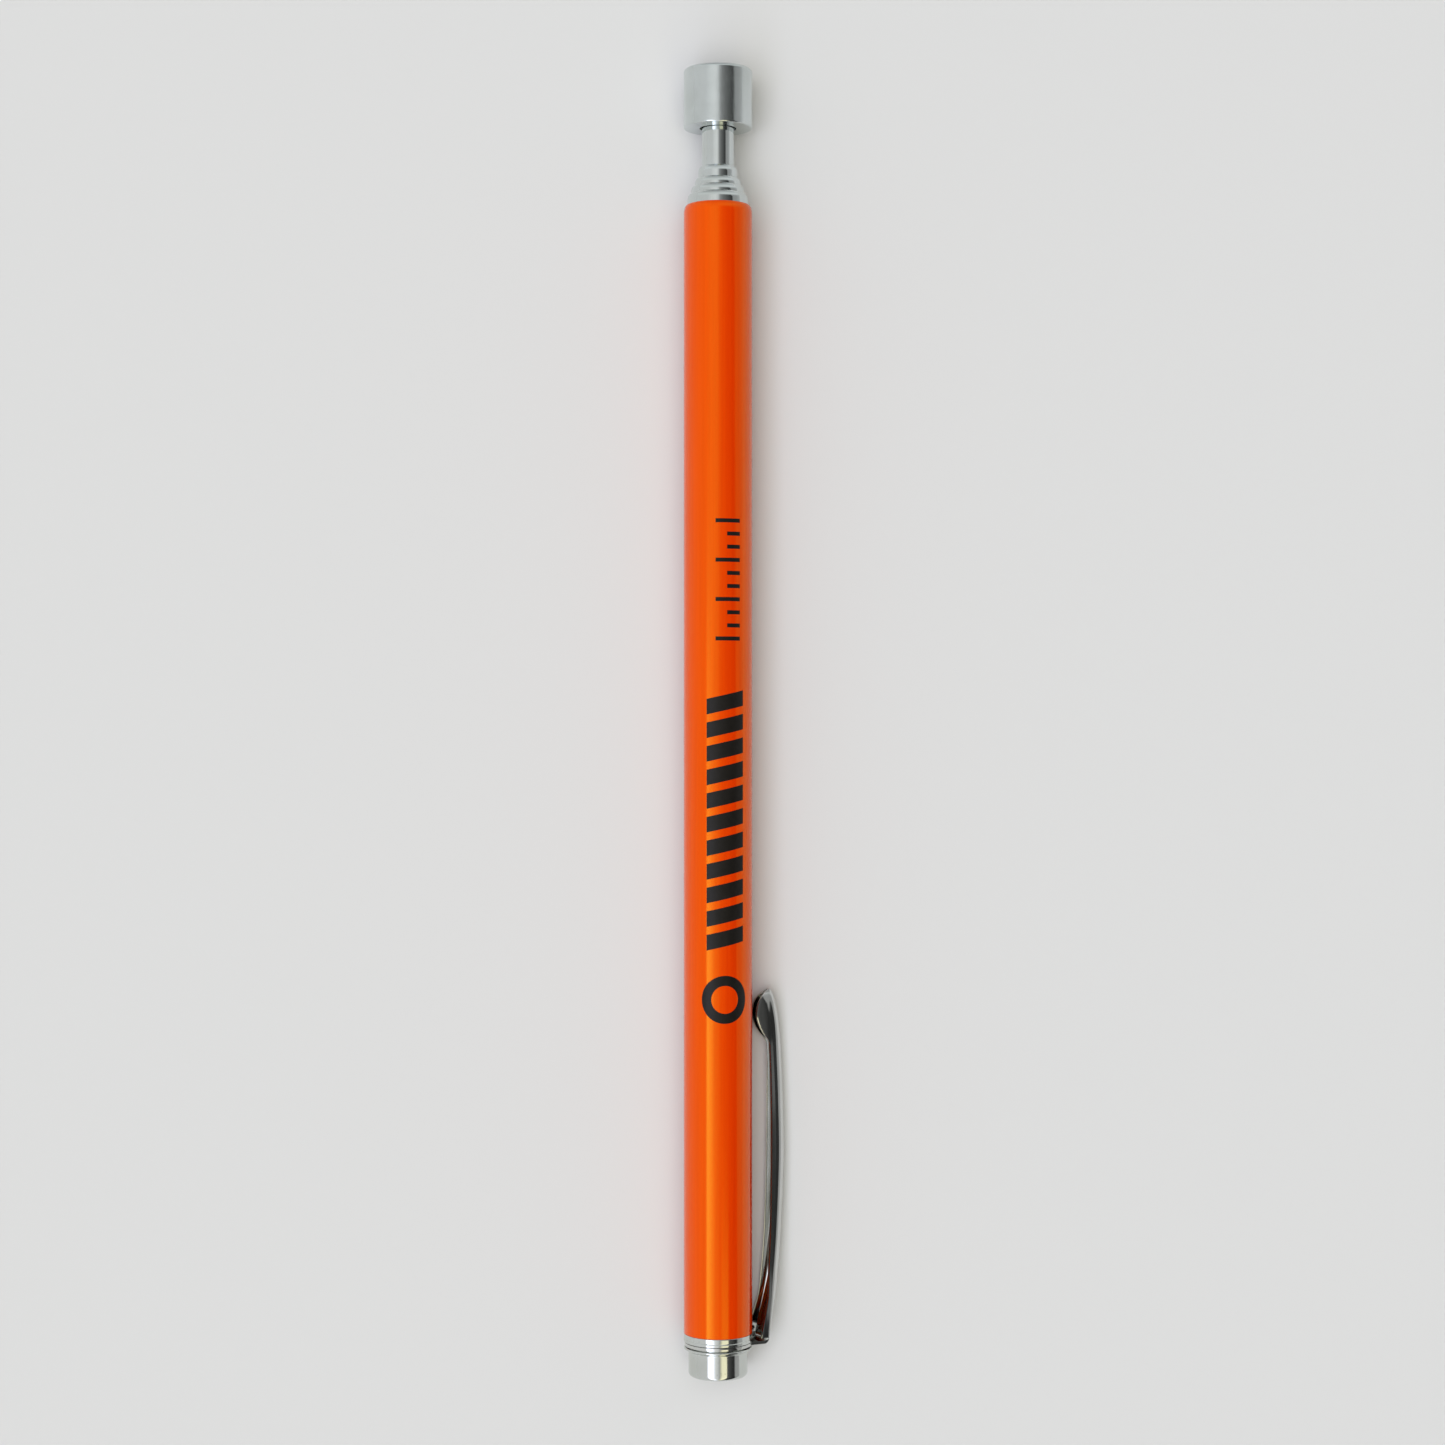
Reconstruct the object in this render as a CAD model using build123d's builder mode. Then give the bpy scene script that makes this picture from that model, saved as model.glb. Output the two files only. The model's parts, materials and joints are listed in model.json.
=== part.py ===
"""Pocket magnetic pickup tool: a lacquered barrel, five telescoping sections and a magnet head.

Frame: the tool lies on a table. +X runs along the tool to the magnet, +Z is up, and the
origin is the centre of the flat face of the end knob. Millimetres.
"""
import os
from math import asin, atan2, cos, degrees, hypot, radians, sin

from build123d import *

os.makedirs("parts", exist_ok=True)

# ---- driving dimensions -------------------------------------------------------------
CLOSED_LENGTH = 165.1
BARREL_R = 4.35
SECTION_COUNT = 5
SECTION_STEP = 0.46          # radius lost from one section to the next
WALL = 0.30                  # tube wall
LIP_GAP = 0.06               # running clearance between a rolled-in lip and the next tube
LIP_LENGTH = 0.9
LIP_ROUND = 0.35

KNOB_R = 3.75
KNOB_LENGTH = 3.2
KNOB_ROUND = 0.6
FLANGE_R = 4.35              # the knob swells into this flange
FLANGE_END = 3.9
CLIP_RING_END = 4.4          # the clip's flat ring lies between flange and ferrule
FERRULE_BAND_END = 5.45
BARREL_START = 5.45
BARREL_END = 147.9
PLUG_SHANK_R = 3.55
PLUG_END = 9.0
PRESS_GAP = 0.02
SECTION_ENDS = (149.3, 150.3, 151.3, 152.8, 158.5)   # magnet end of each section, closed

SHOE_FIRST = 12.0            # lower end of the first pair of friction shoes
SHOE_PITCH = 7.3
SHOE_LENGTH = 7.0
SHOE_SLACK = 0.05            # the groove is this much longer than the shoe at each end
GROOVE_DEPTH = 0.08          # depth of the rolled groove that holds a pair of shoes
GROOVE_FIT = 0.02            # radial clearance of a shoe round its groove
BORE_FIT = 0.03              # radial clearance of a shoe in the tube outside it
SHOE_GAP = 1.0               # gap between the two shoes of a pair
TAIL_LENGTH = 2.9            # tube below its shoes

HEAD_R = 4.35
HEAD_START = 157.65
HEAD_ROUND = 0.5
HEAD_FLOOR_END = 159.35
NECK_RECESS_R = 2.30
NECK_RECESS_DEPTH = 0.9
CUP_BORE_R = 3.65
MAGNET_R = 3.05
RIVET_R = 1.0
RIVET_HEAD_R = 1.6
RIVET_HEAD_LENGTH = 0.4
STEM_LENGTH = 12.0

CLIP_RISE = (                # (along the tool, height of the clip's back over the axis)
    (CLIP_RING_END, 6.45),
    (6.9, 7.02),
    (9.5, 7.66),
    (12.7, 8.12),
    (18.0, 8.58),
    (27.0, 9.00),
    (34.0, 8.92),
    (40.0, 8.68),
    (45.5, 8.12),
    (48.6, 7.20),
)
CLIP_EDGE = (                # (along the tool, height of the channel's edge over the axis)
    (CLIP_RING_END, 5.00),
    (9.5, 6.20),
    (12.7, 6.46),
    (18.0, 6.78),
    (27.0, 6.98),
    (35.0, 7.02),
    (42.0, 6.70),
)
CLIP_WALL = 0.4
CLIP_NECK = CLIP_EDGE[-1][0]             # the toe starts here
CLIP_TOE = 45.2              # the toe is deepest and widest here
CLIP_TOE_LOW = 4.95          # height of the toe's lowest point over the axis
CLIP_TIP_LOW = 6.6
CLIP_HALF_WIDTHS = (
    (CLIP_RING_END, 2.00),
    (6.5, 1.80),
    (9.2, 1.56),
    (12.7, 1.33),
    (17.0, 1.16),
    (24.0, 1.00),
    (32.0, 0.86),
    (CLIP_NECK, 0.64),
)
CLIP_TOE_HALF_WIDTH = 0.85
CLIP_TIP_HALF_WIDTH = 0.42
TAB_ROUND = 0.4
CLIP_HOLLOW_LOW = 3.0        # the cutter for the channel reaches down to this height

# ---- the clip's angle: the barrel and the clip's back both rest on the table ----------
rest_out = max(rise for _, rise in CLIP_RISE)
rest_across = CLIP_HALF_WIDTHS[5][1]
CLIP_ANGLE = asin(BARREL_R / hypot(rest_out, rest_across)) - atan2(rest_across, rest_out)
clip_out = (0, -cos(CLIP_ANGLE), -sin(CLIP_ANGLE))
clip_across = (0, sin(CLIP_ANGLE), -cos(CLIP_ANGLE))
clip_side = Plane(origin=(0, 0, 0), x_dir=(1, 0, 0), z_dir=clip_across)   # y is outward
clip_plan = Plane(origin=(0, 0, 0), x_dir=(1, 0, 0), z_dir=clip_out)      # y is across
clip_end = Plane(origin=(FLANGE_END, 0, 0), x_dir=clip_out, z_dir=(1, 0, 0))


def section_radius(index):
    """Outside radius of a section; the barrel is section 0."""
    return BARREL_R - SECTION_STEP * index


def shoe_start(index):
    """Lower end of a section's friction shoes when the tool is closed."""
    return SHOE_FIRST + SHOE_PITCH * (index - 1)


def turned_profile(corners, rounds=()):
    """Half section, as (along, radius) corners, with (along, radius, size) corners rounded."""
    with BuildSketch(Plane.XY) as profile:
        with BuildLine():
            Polyline(*corners, close=True)
        make_face()
        for along, height, size in rounds:
            fillet(profile.vertices().sort_by_distance((along, height, 0))[0], radius=size)
    return profile.sketch


def finish(builder, name):
    """Label a finished piece and write it."""
    builder.part.label = name
    export_step(builder.part, f"parts/{name}.step")
    return builder.part


# ---- barrel: a tube with a rolled-in lip at the magnet end ----------------------------
with BuildPart() as barrel_tube:
    bore = BARREL_R - WALL
    lip = section_radius(1) + LIP_GAP
    corners = (
        (BARREL_START, bore),
        (BARREL_START, BARREL_R),
        (BARREL_END, BARREL_R),
        (BARREL_END, lip),
        (BARREL_END - LIP_LENGTH, lip),
        (BARREL_END - LIP_LENGTH, bore),
    )
    revolve(turned_profile(corners, [(BARREL_END, BARREL_R, LIP_ROUND)]), axis=Axis.X)
finish(barrel_tube, "barrel_tube")

# ---- end ferrule: a bright band with a sleeve pressed into the barrel -----------------
with BuildPart() as end_ferrule:
    inner = PLUG_SHANK_R + PRESS_GAP
    sleeve = BARREL_R - WALL - PRESS_GAP
    corners = (
        (CLIP_RING_END, inner),
        (CLIP_RING_END, BARREL_R),
        (FERRULE_BAND_END, BARREL_R),
        (FERRULE_BAND_END, sleeve),
        (PLUG_END, sleeve),
        (PLUG_END, inner),
    )
    revolve(turned_profile(corners), axis=Axis.X)
finish(end_ferrule, "end_ferrule")

# ---- end plug: knob, flange and a shank pressed into the ferrule ----------------------
with BuildPart() as end_plug:
    corners = (
        (0, 0),
        (0, KNOB_R),
        (KNOB_LENGTH, KNOB_R),
        (FLANGE_END, FLANGE_R),
        (FLANGE_END, PLUG_SHANK_R),
        (PLUG_END, PLUG_SHANK_R),
        (PLUG_END, 0),
    )
    revolve(turned_profile(corners, [(0, KNOB_R, KNOB_ROUND)]), axis=Axis.X)
finish(end_plug, "end_plug")

# ---- telescoping sections, each with its pair of friction shoes -----------------------
for index in range(1, SECTION_COUNT + 1):
    outer = section_radius(index)
    inner = outer - WALL
    start = shoe_start(index) - TAIL_LENGTH
    end = SECTION_ENDS[index - 1]
    groove_start = shoe_start(index) - SHOE_SLACK
    groove_end = shoe_start(index) + SHOE_LENGTH + SHOE_SLACK
    corners = [
        (start, inner),
        (start, outer),
        (groove_start, outer),
        (groove_start, outer - GROOVE_DEPTH),
        (groove_end, outer - GROOVE_DEPTH),
        (groove_end, outer),
        (end, outer),
    ]
    rounds = []
    if index < SECTION_COUNT:
        lip = section_radius(index + 1) + LIP_GAP
        corners += [(end, lip), (end - LIP_LENGTH, lip), (end - LIP_LENGTH, inner)]
        rounds = [(end, outer, LIP_ROUND)]
    else:
        corners += [(end, inner)]
    corners += [
        (groove_end + SHOE_SLACK, inner),
        (groove_end + SHOE_SLACK, inner - GROOVE_DEPTH),
        (groove_start - SHOE_SLACK, inner - GROOVE_DEPTH),
        (groove_start - SHOE_SLACK, inner),
    ]
    with BuildPart() as section_tube:
        revolve(turned_profile(corners, rounds), axis=Axis.X)
    finish(section_tube, f"section_{index}_tube")

    shoe_outer = section_radius(index - 1) - WALL - BORE_FIT
    shoe_inner = outer - GROOVE_DEPTH + GROOVE_FIT
    for letter, side in (("a", 1), ("b", -1)):
        with BuildPart() as friction_shoe:
            with BuildSketch(Plane.YZ.offset(shoe_start(index))):
                Circle(shoe_outer)
                Circle(shoe_inner, mode=Mode.SUBTRACT)
                with Locations((0, side * (SHOE_GAP / 2 - shoe_outer))):
                    Rectangle(2 * shoe_outer, 2 * shoe_outer, mode=Mode.SUBTRACT)
            extrude(amount=SHOE_LENGTH)
        finish(friction_shoe, f"friction_shoe_{index}{letter}")

# ---- magnet head ----------------------------------------------------------------------
recess_end = HEAD_START + NECK_RECESS_DEPTH
with BuildPart() as magnet_cup:
    corners = (
        (HEAD_START, NECK_RECESS_R),
        (HEAD_START, HEAD_R),
        (CLOSED_LENGTH, HEAD_R),
        (CLOSED_LENGTH, CUP_BORE_R),
        (HEAD_FLOOR_END, CUP_BORE_R),
        (HEAD_FLOOR_END, RIVET_R),
        (recess_end, RIVET_R),
        (recess_end, NECK_RECESS_R),
    )
    rounds = [(HEAD_START, HEAD_R, HEAD_ROUND / 2), (CLOSED_LENGTH, HEAD_R, HEAD_ROUND)]
    revolve(turned_profile(corners, rounds), axis=Axis.X)
finish(magnet_cup, "magnet_cup")

with BuildPart() as head_stem:
    shank_r = section_radius(SECTION_COUNT) - WALL - PRESS_GAP
    rivet_r = RIVET_R - PRESS_GAP
    rivet_end = HEAD_FLOOR_END + RIVET_HEAD_LENGTH
    corners = (
        (recess_end - STEM_LENGTH, 0),
        (recess_end - STEM_LENGTH, shank_r),
        (recess_end, shank_r),
        (recess_end, rivet_r),
        (HEAD_FLOOR_END, rivet_r),
        (HEAD_FLOOR_END, RIVET_HEAD_R),
        (rivet_end, RIVET_HEAD_R),
        (rivet_end, 0),
    )
    revolve(turned_profile(corners), axis=Axis.X)
finish(head_stem, "head_stem")

with BuildPart() as spacer_sleeve:
    corners = (
        (HEAD_FLOOR_END, MAGNET_R + PRESS_GAP),
        (HEAD_FLOOR_END, CUP_BORE_R - PRESS_GAP),
        (CLOSED_LENGTH, CUP_BORE_R - PRESS_GAP),
        (CLOSED_LENGTH, MAGNET_R + PRESS_GAP),
    )
    revolve(turned_profile(corners), axis=Axis.X)
finish(spacer_sleeve, "spacer_sleeve")

with BuildPart() as magnet_disc:
    corners = ((rivet_end, 0), (rivet_end, MAGNET_R), (CLOSED_LENGTH, MAGNET_R), (CLOSED_LENGTH, 0))
    revolve(turned_profile(corners), axis=Axis.X)
finish(magnet_disc, "magnet_disc")


# ---- pocket clip: a stamped channel on a flat ring ------------------------------------
def clip_side_profile(inset, low=None):
    """Outline of the channel seen from its side; with a low line it is the cutter's outline."""
    back = [(along, rise - inset) for along, rise in CLIP_RISE]
    back[-1] = (CLIP_RISE[-1][0] - inset, CLIP_RISE[-1][1] - inset)
    with BuildSketch(clip_side) as profile:
        with BuildLine():
            top = Spline(*back)
            if low is None:
                under = Spline(*CLIP_EDGE)
                tip = (CLIP_RISE[-1][0], CLIP_TIP_LOW)
                ThreePointArc(under @ 1, (CLIP_TOE, CLIP_TOE_LOW), tip)
                Line(tip, top @ 1)
                Line(top @ 0, under @ 0)
            else:
                Polyline(top @ 0, (back[0][0], low), (back[-1][0], low), top @ 1)
        make_face()
    return profile.sketch


def clip_plan_profile(inset):
    """Outline of the channel seen from outside: a long taper, a neck and a boat-shaped toe."""
    side = [(along, half - inset) for along, half in CLIP_HALF_WIDTHS]
    tip = (CLIP_RISE[-1][0] - 1.5 * inset, CLIP_TIP_HALF_WIDTH - inset / 2)
    with BuildSketch(clip_plan) as profile:
        with BuildLine():
            taper = Spline(*side)
            toe = Spline(taper @ 1, (CLIP_TOE, CLIP_TOE_HALF_WIDTH - inset), tip)
            Line(toe @ 1, (tip[0], 0))
            Line((tip[0], 0), (side[0][0], 0))
            Line((side[0][0], 0), taper @ 0)
        make_face()
        mirror(about=Plane.XZ)
    return profile.sketch


with BuildPart() as clip_hollow:
    extrude(clip_side_profile(CLIP_WALL, CLIP_HOLLOW_LOW), amount=CLIP_HALF_WIDTHS[0][1], both=True)
    extrude(clip_plan_profile(CLIP_WALL), amount=2 * rest_out, mode=Mode.INTERSECT)

with BuildPart() as clip_arm:
    extrude(clip_side_profile(0), amount=CLIP_HALF_WIDTHS[0][1], both=True)
    extrude(clip_plan_profile(0), amount=2 * rest_out, mode=Mode.INTERSECT)
    add(clip_hollow.part, mode=Mode.SUBTRACT)
finish(clip_arm, "pocket_clip_arm")

with BuildPart() as clip_base:
    tab_length = CLIP_RISE[0][1]
    with BuildSketch(clip_end):
        Circle(BARREL_R)
        with Locations((tab_length / 2, 0)):
            Rectangle(tab_length, 2 * CLIP_HALF_WIDTHS[0][1])
        Circle(PLUG_SHANK_R + PRESS_GAP, mode=Mode.SUBTRACT)
    extrude(amount=CLIP_RING_END - FLANGE_END)
    bend = clip_base.edges().sort_by_distance(clip_end.from_local_coords((tab_length, 0, 0)))[0]
    fillet(bend, radius=TAB_ROUND)
finish(clip_base, "pocket_clip_base")

print(f"clip angle {degrees(CLIP_ANGLE):.2f} degrees")
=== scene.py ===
"""Looks of a pocket magnetic pickup tool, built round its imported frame.

The tool lies along +X with its magnet towards +X, on a floor just below its barrel. Every piece
is a turned or stamped mesh that stands for one or more nodes of the frame, in metres.
"""
import json
import logging
import math
from dataclasses import dataclass, field
from enum import Enum
from typing import Callable, Sequence

import bmesh
import bpy
from mathutils import Matrix, Vector


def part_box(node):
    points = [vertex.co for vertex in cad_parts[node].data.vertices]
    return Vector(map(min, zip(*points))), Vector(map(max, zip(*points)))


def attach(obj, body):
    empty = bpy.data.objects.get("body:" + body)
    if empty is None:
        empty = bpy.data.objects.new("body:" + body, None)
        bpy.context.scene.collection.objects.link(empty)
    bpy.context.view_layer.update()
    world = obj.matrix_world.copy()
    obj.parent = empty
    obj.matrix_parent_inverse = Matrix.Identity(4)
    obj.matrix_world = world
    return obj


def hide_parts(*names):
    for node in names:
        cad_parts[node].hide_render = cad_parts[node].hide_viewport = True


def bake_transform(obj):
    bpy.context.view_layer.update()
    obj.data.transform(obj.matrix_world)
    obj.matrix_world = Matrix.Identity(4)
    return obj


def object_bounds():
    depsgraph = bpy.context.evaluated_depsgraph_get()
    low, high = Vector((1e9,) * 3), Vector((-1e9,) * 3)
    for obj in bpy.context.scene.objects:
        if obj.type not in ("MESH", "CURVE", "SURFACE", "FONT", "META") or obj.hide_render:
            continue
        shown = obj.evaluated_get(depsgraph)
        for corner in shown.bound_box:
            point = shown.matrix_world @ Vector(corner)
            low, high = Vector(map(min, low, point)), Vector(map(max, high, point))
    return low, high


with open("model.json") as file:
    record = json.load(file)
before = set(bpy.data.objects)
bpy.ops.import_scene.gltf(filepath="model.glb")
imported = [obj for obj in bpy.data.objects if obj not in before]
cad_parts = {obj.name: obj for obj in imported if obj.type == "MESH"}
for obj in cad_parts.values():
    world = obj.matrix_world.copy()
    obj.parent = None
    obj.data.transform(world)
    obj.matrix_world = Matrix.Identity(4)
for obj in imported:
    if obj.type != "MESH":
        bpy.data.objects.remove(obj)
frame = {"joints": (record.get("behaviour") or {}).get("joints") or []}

CAD_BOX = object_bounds()
Socket, Tree, Node = bpy.types.NodeSocket, bpy.types.NodeTree, bpy.types.Node
Material, Piece = bpy.types.Material, bpy.types.Object
Mesh, Point = bmesh.types.BMesh, bmesh.types.BMVert
Pair = tuple[float, float]
Triple = tuple[float, float, float]
Quad = tuple[float, float, float, float]
Curve = tuple[Pair, ...]
LOG = logging.getLogger("pickup_tool")
MM = 0.001
WALL = 0.30 * MM
LIP_GAP = 0.06 * MM
RUNNING_ROOM = 0.02 * MM
ROUND_STEPS = 144
GUARD = 0.04 * MM
MERGE = 1e-7
CREASE_DEGREES = 40.0
ROUND_SEGMENTS = 6
FLOAT = "NodeSocketFloat"
VECTOR = "NodeSocketVector"


class Slot(Enum):
    """Finish slots of the record."""

    LACQUER = "lacquer"
    CHROME = "chrome"
    SATIN = "satin_nickel"
    BRONZE = "bronze"
    BRASS = "brass"
    SPACER = "spacer"
    MAGNET = "magnet"


# Shader building.
@dataclass
class NodeBench:
    """A node tree with short ways to add and join nodes."""

    tree: Tree

    def add(self, kind: str, **settings: object) -> Node:
        """Add a node.

        Args:
            kind: the node's type name, without its common prefix.
            settings: attributes to set on the node.

        Returns:
            The new node.
        """
        node = self.tree.nodes.new("ShaderNode" + kind)
        for name, value in settings.items():
            setattr(node, name, value)
        return node

    def join(self, source: Socket, target: Socket) -> None:
        """Link one socket to another."""
        self.tree.links.new(source, target)

    def feed(self, value: object, target: Socket) -> None:
        """Link a socket to the target, or set the target to a plain value."""
        if isinstance(value, Socket):
            self.join(value, target)
        else:
            target.default_value = value

    def math(self, operation: str, first: object, second: object = 0.0, third: object = 0.0,
             clamp: bool = False) -> Socket:
        """Add a Math node.

        Args:
            operation: what the node works out.
            first: socket or number.
            second: socket or number.
            third: socket or number.
            clamp: True to keep the result between 0 and 1.

        Returns:
            The node's output.
        """
        node = self.add("Math", operation=operation, use_clamp=clamp)
        for value, socket in zip((first, second, third), node.inputs):
            self.feed(value, socket)
        return node.outputs[0]

    def remap(self, value: object, low: float, high: float, to_low: float,
              to_high: float, smooth: bool = False) -> Socket:
        """Map a value from one range to another and clamp it.

        Args:
            value: socket or number to map.
            low: value that gives to_low.
            high: value that gives to_high.
            to_low: result at low.
            to_high: result at high.
            smooth: True for a change that starts and ends gently.

        Returns:
            The node's output.
        """
        node = self.add("MapRange", interpolation_type="SMOOTHSTEP" if smooth else "LINEAR")
        for given, socket in zip((value, low, high, to_low, to_high), node.inputs):
            self.feed(given, socket)
        return node.outputs["Result"]

    def mix(self, factor: object, first: object, second: object) -> Socket:
        """Mix two colours.

        Args:
            factor: share of the second colour.
            first: socket or colour.
            second: socket or colour.

        Returns:
            The mixed colour.
        """
        node = self.add("Mix", data_type="RGBA")
        self.feed(factor, node.inputs["Factor"])
        self.feed(first, node.inputs["A"])
        self.feed(second, node.inputs["B"])
        return next(s for s in node.outputs if s.type == "RGBA")

    def noise(self, vector: object, scale: object, detail: float = 2.0) -> Socket:
        """Add a noise texture.

        Args:
            vector: coordinates that it reads.
            scale: number of blobs per metre.
            detail: number of finer layers.

        Returns:
            The noise, from 0 to 1.
        """
        node = self.add("TexNoise")
        self.join(vector, node.inputs["Vector"])
        self.feed(scale, node.inputs["Scale"])
        node.inputs["Detail"].default_value = detail
        return node.outputs["Fac"]

    def dent(self, height: Socket, strength: float, distance: float) -> None:
        """Bump the material's shader.

        Args:
            height: height of the surface, from 0 to 1.
            strength: share of the bump that shows.
            distance: depth of the bump in metres.
        """
        bump = self.add("Bump")
        bump.inputs["Strength"].default_value = strength
        bump.inputs["Distance"].default_value = distance
        self.join(height, bump.inputs["Height"])
        self.join(bump.outputs["Normal"], self.tree.nodes["Principled BSDF"].inputs["Normal"])


def colour(red: float, green: float, blue: float) -> Quad:
    """Return a linear colour with full alpha."""
    return (red, green, blue, 1.0)


def new_group(name: str, inputs: dict[str, tuple[str, float]],
              outputs: dict[str, str]) -> tuple[NodeBench, Node, Node]:
    """Start a shader node group.

    Args:
        name: the group's name.
        inputs: socket name to (socket type, default value).
        outputs: socket name to socket type.

    Returns:
        The group's bench, its input node and its output node.
    """
    tree = bpy.data.node_groups.new(name, "ShaderNodeTree")
    for socket, (kind, default) in inputs.items():
        made = tree.interface.new_socket(name=socket, in_out="INPUT", socket_type=kind)
        if kind == FLOAT:
            made.default_value = default
    for socket, kind in outputs.items():
        tree.interface.new_socket(name=socket, in_out="OUTPUT", socket_type=kind)
    bench = NodeBench(tree)
    return bench, tree.nodes.new("NodeGroupInput"), tree.nodes.new("NodeGroupOutput")


def drawn_lines_group() -> Tree:
    """Fine lines along X, as drawing or polishing leaves them, with a little haze over them.

    Returns:
        The group: Roughness and Height from a vector, a base roughness, a spread and a pitch.
    """
    inputs = {"Vector": (VECTOR, 0.0), "Roughness": (FLOAT, 0.1), "Spread": (FLOAT, 0.05),
              "Lines per mm": (FLOAT, 6.0), "Haze per mm": (FLOAT, 0.3), "Stretch": (FLOAT, 0.02)}
    bench, given, out = new_group("drawn lines", inputs, {"Roughness": FLOAT, "Height": FLOAT})
    stretch = bench.add("VectorMath", operation="MULTIPLY")
    bench.join(given.outputs["Vector"], stretch.inputs[0])
    ratio = bench.add("CombineXYZ")
    bench.join(given.outputs["Stretch"], ratio.inputs["X"])
    ratio.inputs["Y"].default_value = 1.0
    ratio.inputs["Z"].default_value = 1.0
    bench.join(ratio.outputs[0], stretch.inputs[1])
    per_metre = bench.math("MULTIPLY", given.outputs["Lines per mm"], 1000.0)
    lines = bench.noise(stretch.outputs[0], per_metre, 3.0)
    haze_scale = bench.math("MULTIPLY", given.outputs["Haze per mm"], 1000.0)
    haze = bench.noise(given.outputs["Vector"], haze_scale, 4.0)
    blend = bench.math("MULTIPLY_ADD", lines, 0.5, bench.math("MULTIPLY", haze, 0.5))
    offset = bench.math("MULTIPLY", bench.math("SUBTRACT", blend, 0.5), given.outputs["Spread"])
    rough = bench.math("MULTIPLY_ADD", offset, 4.0, given.outputs["Roughness"], clamp=True)
    bench.join(rough, out.inputs["Roughness"])
    bench.join(lines, out.inputs["Height"])
    return bench.tree


def turned_rings_group() -> Tree:
    """Fine rings about the X axis, as a lathe leaves them on an end face.

    Returns:
        The group: Height from a vector and a pitch, masked to faces that look along X.
    """
    inputs = {"Vector": (VECTOR, 0.0), "Rings per mm": (FLOAT, 9.0)}
    bench, given, out = new_group("turned rings", inputs, {"Height": FLOAT})
    parts = bench.add("SeparateXYZ")
    bench.join(given.outputs["Vector"], parts.inputs[0])
    flat = bench.add("CombineXYZ")
    bench.join(parts.outputs["Y"], flat.inputs["Y"])
    bench.join(parts.outputs["Z"], flat.inputs["Z"])
    reach = bench.add("VectorMath", operation="LENGTH")
    bench.join(flat.outputs[0], reach.inputs[0])
    spread = bench.math("MULTIPLY", bench.math("MULTIPLY", reach.outputs["Value"], 1000.0),
                        given.outputs["Rings per mm"])
    line = bench.add("CombineXYZ")
    bench.join(spread, line.inputs["X"])
    bench.join(bench.noise(line.outputs[0], 1.0, 2.0), out.inputs["Height"])
    return bench.tree


def pits_group() -> Tree:
    """Sparse shallow pits and specks in plating.

    Returns:
        The group: Mask and Height from a vector and a number of specks per millimetre.
    """
    inputs = {"Vector": (VECTOR, 0.0), "Specks per mm": (FLOAT, 2.0), "Amount": (FLOAT, 0.5)}
    bench, given, out = new_group("plating pits", inputs, {"Mask": FLOAT, "Height": FLOAT})
    scale = bench.math("MULTIPLY", given.outputs["Specks per mm"], 1000.0)
    cells = bench.add("TexVoronoi", feature="F1")
    bench.join(given.outputs["Vector"], cells.inputs["Vector"])
    bench.join(scale, cells.inputs["Scale"])
    spot = bench.remap(cells.outputs["Distance"], 0.08, 0.3, 1.0, 0.0, smooth=True)
    wide = bench.noise(given.outputs["Vector"], bench.math("MULTIPLY", scale, 0.35), 2.0)
    chosen = bench.math("MULTIPLY", spot, bench.remap(wide, 0.5, 0.62, 0.0, 1.0))
    mask = bench.math("MULTIPLY", chosen, given.outputs["Amount"], clamp=True)
    bench.join(mask, out.inputs["Mask"])
    bench.join(bench.math("SUBTRACT", 1.0, mask), out.inputs["Height"])
    return bench.tree


@dataclass
class GroupShelf:
    """The effect groups that several finishes share, built once."""

    drawn: Tree = field(default_factory=drawn_lines_group)
    rings: Tree = field(default_factory=turned_rings_group)
    pits: Tree = field(default_factory=pits_group)


def place_group(bench: NodeBench, tree: Tree, vector: Socket,
                **values: float) -> Node:
    """Place a shared group in a material.

    Args:
        bench: the material's bench.
        tree: the group.
        vector: coordinates that the group reads.
        values: plain values, by socket name with underscores for spaces.

    Returns:
        The group node.
    """
    node = bench.add("Group", node_tree=tree)
    bench.join(vector, node.inputs["Vector"])
    for name, value in values.items():
        node.inputs[name.replace("_", " ")].default_value = value
    return node


def start_finish(name: str) -> tuple[Material, NodeBench, Node, Socket]:
    """Start a material.

    Args:
        name: the material's name.

    Returns:
        The material, its bench, its shader and the Object coordinates.
    """
    made = bpy.data.materials.new(name)
    made.use_nodes = True
    bench = NodeBench(made.node_tree)
    shader = made.node_tree.nodes["Principled BSDF"]
    return made, bench, shader, bench.add("TexCoord").outputs["Object"]


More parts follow.
